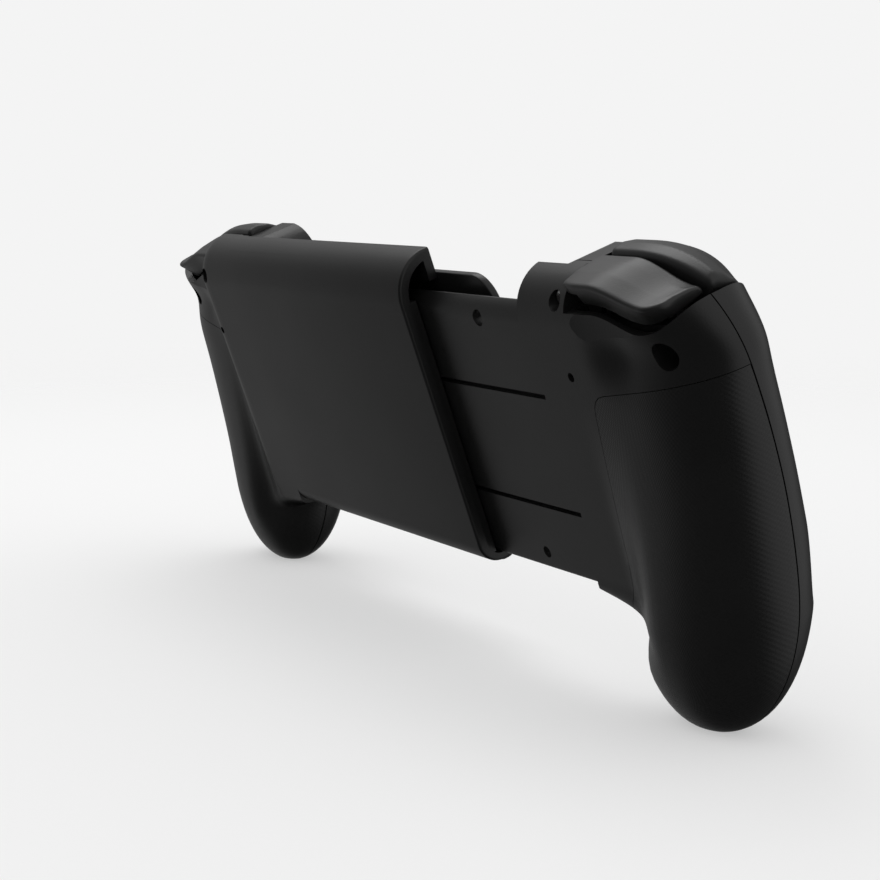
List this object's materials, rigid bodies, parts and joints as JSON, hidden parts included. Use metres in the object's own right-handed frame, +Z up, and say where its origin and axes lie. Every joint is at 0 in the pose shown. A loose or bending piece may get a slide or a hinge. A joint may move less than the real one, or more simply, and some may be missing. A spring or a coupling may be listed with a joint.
{
  "type": "telescopic phone game controller",
  "caption": "Telescopic phone gamepad: two full-size grips joined by a plate sliding in a sleeve, with sprung triggers, bumpers, thumb sticks, direction pad and buttons.",
  "frame": {"origin": "floor level, midway between the two grips and midway front to back of the whole part", "axes": "+X toward the right-hand grip, +Y toward the back, +Z up; the part stands on its grip ends and leans 20 degrees toward the back"},
  "size_m": [0.2668, 0.0572, 0.1066],
  "materials": {
    "board": "green laminate",
    "control": "satin dark grey plastic",
    "cover": "black plastic with a fine dotted texture",
    "ribbon": "amber film",
    "rubber": "matte black rubber",
    "shell": "satin black moulded plastic",
    "steel": "plain steel"
  },
  "bodies": {
    "right_unit": {"right_rear_shell": "shell", "right_front_shell": "shell", "right_grip_cover": "cover", "right_trigger_pin": "steel", "right_trigger_spring": "steel", "right_bumper_pin": "steel", "right_bracket": "control", "right_board": "board", "right_stick_base": "shell", "face_membrane": "rubber", "right_switches": "control", "right_screws": "steel", "right_phone_pad": "rubber", "usb_plug": "steel", "phone_rest": "shell", "rest_pads": "rubber", "guide_pins": "steel", "pull_springs": "steel", "flex_cable": "ribbon", "rest_screws": "steel"},
    "left_unit": {"left_rear_shell": "shell", "left_front_shell": "shell", "left_grip_cover": "cover", "left_trigger_pin": "steel", "left_trigger_spring": "steel", "left_bumper_pin": "steel", "left_bracket": "control", "left_board": "board", "left_stick_base": "shell", "dpad_membrane": "rubber", "left_switches": "control", "left_screws": "steel", "left_phone_pad": "rubber"},
    "left_trigger": {"left_trigger": "control"},
    "left_bumper": {"left_bumper": "control"},
    "left_stick_yoke": {"left_stick_yoke": "control"},
    "left_stick_rocker": {"left_stick_rocker": "control"},
    "left_stick_cap": {"left_stick_cap": "rubber"},
    "dpad_pivot": {"dpad_pivot": "control"},
    "dpad_cap": {"dpad_cap": "control"},
    "view_button": {"view_button": "control"},
    "capture_button": {"capture_button": "control"},
    "right_trigger": {"right_trigger": "control"},
    "right_bumper": {"right_bumper": "control"},
    "right_stick_yoke": {"right_stick_yoke": "control"},
    "right_stick_rocker": {"right_stick_rocker": "control"},
    "right_stick_cap": {"right_stick_cap": "rubber"},
    "button_up": {"button_up": "control"},
    "button_right": {"button_right": "control"},
    "button_down": {"button_down": "control"},
    "button_left": {"button_left": "control"},
    "menu_button": {"menu_button": "control"},
    "home_button": {"home_button": "control"}
  },
  "joints": [
    {"name": "bridge_slide", "type": "slide", "parent": "right_unit", "child": "left_unit", "axis": [1, 0, 0], "range_m": [-0.025, 0.03], "deforming": ["pull_springs", "flex_cable"]},
    {"name": "left_trigger_pull", "type": "hinge", "parent": "left_unit", "child": "left_trigger", "pos_m": [-0.105, 0.01368, 0.09443], "axis": [-1, 0, 0], "range_deg": [0, 10], "stiffness_Nm_per_rad": 0.06, "springref_deg": -8.59},
    {"name": "left_bumper_press", "type": "hinge", "parent": "left_unit", "child": "left_bumper", "pos_m": [-0.105, 0.00204, 0.09899], "axis": [-1, 0, 0], "range_deg": [0, 4], "stiffness_Nm_per_rad": 0.12, "springref_deg": -4.58},
    {"name": "left_stick_up_down", "type": "hinge", "parent": "left_unit", "child": "left_stick_yoke", "pos_m": [-0.105, -0.00053, 0.08023], "axis": [1, 0, 0], "range_deg": [-16, 16], "stiffness_Nm_per_rad": 0.03},
    {"name": "left_stick_left_right", "type": "hinge", "parent": "left_stick_yoke", "child": "left_stick_rocker", "pos_m": [-0.105, -0.00053, 0.08023], "axis": [0, 0.342, 0.9397], "range_deg": [-16, 16], "stiffness_Nm_per_rad": 0.03},
    {"name": "left_stick_click", "type": "slide", "parent": "left_stick_rocker", "child": "left_stick_cap", "axis": [0, 0.9397, -0.342], "range_m": [0, 0.0005], "stiffness_N_per_m": 4000, "springref_m": -0.0003},
    {"name": "right_trigger_pull", "type": "hinge", "parent": "right_unit", "child": "right_trigger", "pos_m": [0.105, 0.01368, 0.09443], "axis": [-1, 0, 0], "range_deg": [0, 10], "stiffness_Nm_per_rad": 0.06, "springref_deg": -8.59},
    {"name": "right_bumper_press", "type": "hinge", "parent": "right_unit", "child": "right_bumper", "pos_m": [0.105, 0.00204, 0.09899], "axis": [-1, 0, 0], "range_deg": [0, 4], "stiffness_Nm_per_rad": 0.12, "springref_deg": -4.58},
    {"name": "right_stick_up_down", "type": "hinge", "parent": "right_unit", "child": "right_stick_yoke", "pos_m": [0.101, -0.01113, 0.0511], "axis": [1, 0, 0], "range_deg": [-16, 16], "stiffness_Nm_per_rad": 0.03},
    {"name": "right_stick_left_right", "type": "hinge", "parent": "right_stick_yoke", "child": "right_stick_rocker", "pos_m": [0.101, -0.01113, 0.0511], "axis": [0, 0.342, 0.9397], "range_deg": [-16, 16], "stiffness_Nm_per_rad": 0.03},
    {"name": "right_stick_click", "type": "slide", "parent": "right_stick_rocker", "child": "right_stick_cap", "axis": [0, 0.9397, -0.342], "range_m": [0, 0.0005], "stiffness_N_per_m": 4000, "springref_m": -0.0003},
    {"name": "dpad_up_down", "type": "hinge", "parent": "left_unit", "child": "dpad_pivot", "pos_m": [-0.1, -0.01019, 0.05076], "axis": [1, 0, 0], "range_deg": [-3.5, 3.5], "stiffness_Nm_per_rad": 0.2},
    {"name": "dpad_left_right", "type": "hinge", "parent": "dpad_pivot", "child": "dpad_cap", "pos_m": [-0.1, -0.01019, 0.05076], "axis": [0, 0.342, 0.9397], "range_deg": [-3.5, 3.5], "stiffness_Nm_per_rad": 0.2},
    {"name": "button_up_press", "type": "slide", "parent": "right_unit", "child": "button_up", "axis": [0, 0.9397, -0.342], "range_m": [0, 0.0012], "stiffness_N_per_m": 700, "springref_m": -0.0006},
    {"name": "button_right_press", "type": "slide", "parent": "right_unit", "child": "button_right", "axis": [0, 0.9397, -0.342], "range_m": [0, 0.0012], "stiffness_N_per_m": 700, "springref_m": -0.0006},
    {"name": "button_down_press", "type": "slide", "parent": "right_unit", "child": "button_down", "axis": [0, 0.9397, -0.342], "range_m": [0, 0.0012], "stiffness_N_per_m": 700, "springref_m": -0.0006},
    {"name": "button_left_press", "type": "slide", "parent": "right_unit", "child": "button_left", "axis": [0, 0.9397, -0.342], "range_m": [0, 0.0012], "stiffness_N_per_m": 700, "springref_m": -0.0006},
    {"name": "view_button_press", "type": "slide", "parent": "left_unit", "child": "view_button", "axis": [0, 0.9397, -0.342], "range_m": [0, 0.0005], "stiffness_N_per_m": 1500, "springref_m": -0.0004},
    {"name": "capture_button_press", "type": "slide", "parent": "left_unit", "child": "capture_button", "axis": [0, 0.9397, -0.342], "range_m": [0, 0.0005], "stiffness_N_per_m": 1500, "springref_m": -0.0004},
    {"name": "menu_button_press", "type": "slide", "parent": "right_unit", "child": "menu_button", "axis": [0, 0.9397, -0.342], "range_m": [0, 0.0005], "stiffness_N_per_m": 1500, "springref_m": -0.0004},
    {"name": "home_button_press", "type": "slide", "parent": "right_unit", "child": "home_button", "axis": [0, 0.9397, -0.342], "range_m": [0, 0.0005], "stiffness_N_per_m": 1500, "springref_m": -0.0004}
  ]
}
